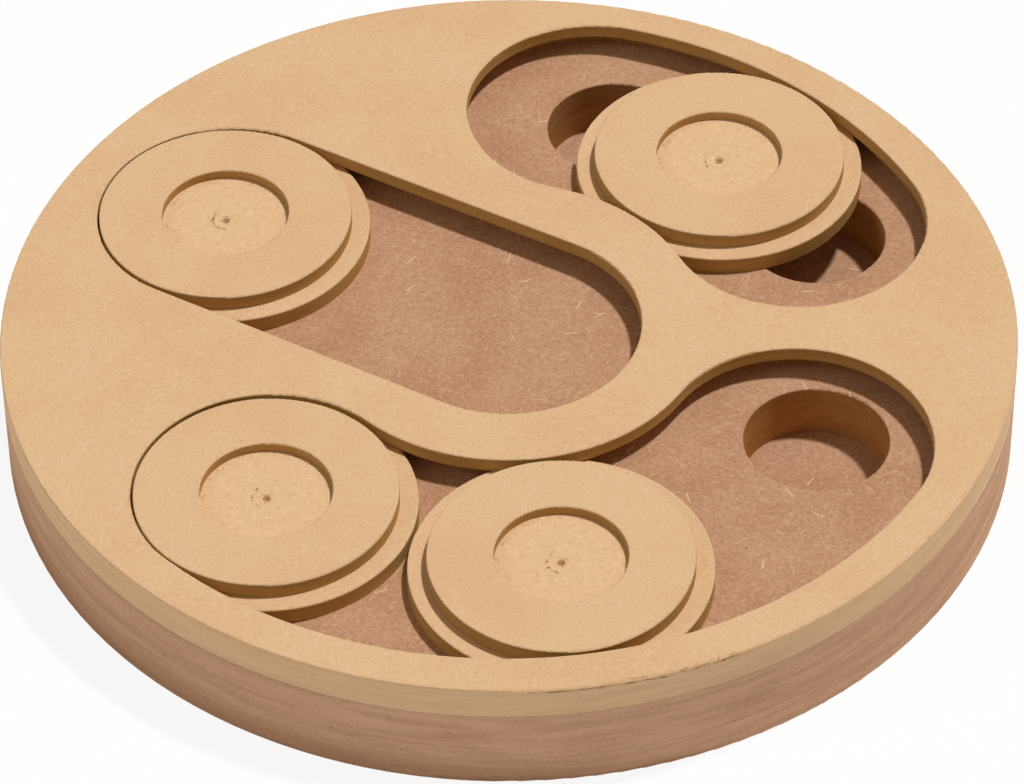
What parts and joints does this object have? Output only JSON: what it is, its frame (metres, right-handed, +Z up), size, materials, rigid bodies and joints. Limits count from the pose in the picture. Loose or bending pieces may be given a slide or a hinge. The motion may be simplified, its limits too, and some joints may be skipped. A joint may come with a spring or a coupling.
{
  "type": "dog puzzle feeder toy",
  "caption": "Round board puzzle feeder for a dog, with flanged discs that slide in undercut channels and uncover treat cups.",
  "frame": {"origin": "centre of the underside, on the surface that the board stands on", "axes": "+Z up, square to the boards; +X to the right and +Y to the back, with the straight channel running from the middle to the back left"},
  "size_m": [0.275, 0.275, 0.034],
  "materials": {
    "pale_board": "sanded pale fibreboard, matt",
    "brown_board": "brown fibreboard, matt"
  },
  "bodies": {
    "board": {"top_plate": "pale_board", "cup_board": "brown_board", "bottom_board": "brown_board"},
    "straight_disc": {"straight_slider": "pale_board"},
    "short_disc": {"short_slider": "pale_board"},
    "long_disc_left": {"long_slider_left": "pale_board"},
    "long_disc_right": {"long_slider_right": "pale_board"}
  },
  "joints": [
    {"name": "straight_slide", "type": "slide", "parent": "board", "child": "straight_disc", "axis": [0.8616, -0.5075, 0], "range_m": [0, 0.0906]},
    {"name": "short_swing", "type": "hinge", "parent": "board", "child": "short_disc", "pos_m": [-0.0022, 0.0032, 0.0246], "axis": [0, 0, 1], "range_deg": [-22.2, 25.8]},
    {"name": "long_swing_right", "type": "hinge", "parent": "board", "child": "long_disc_right", "pos_m": [0, 0, 0.0246], "axis": [0, 0, 1], "range_deg": [0, 49.4]},
    {"name": "long_swing_left", "type": "hinge", "parent": "board", "child": "long_disc_left", "pos_m": [0, 0, 0.0246], "axis": [0, 0, 1], "range_deg": [0, 49.4]}
  ],
  "couplings": [
    {"joint": "long_swing_left", "follows": "long_swing_right", "ratio": 1}
  ]
}
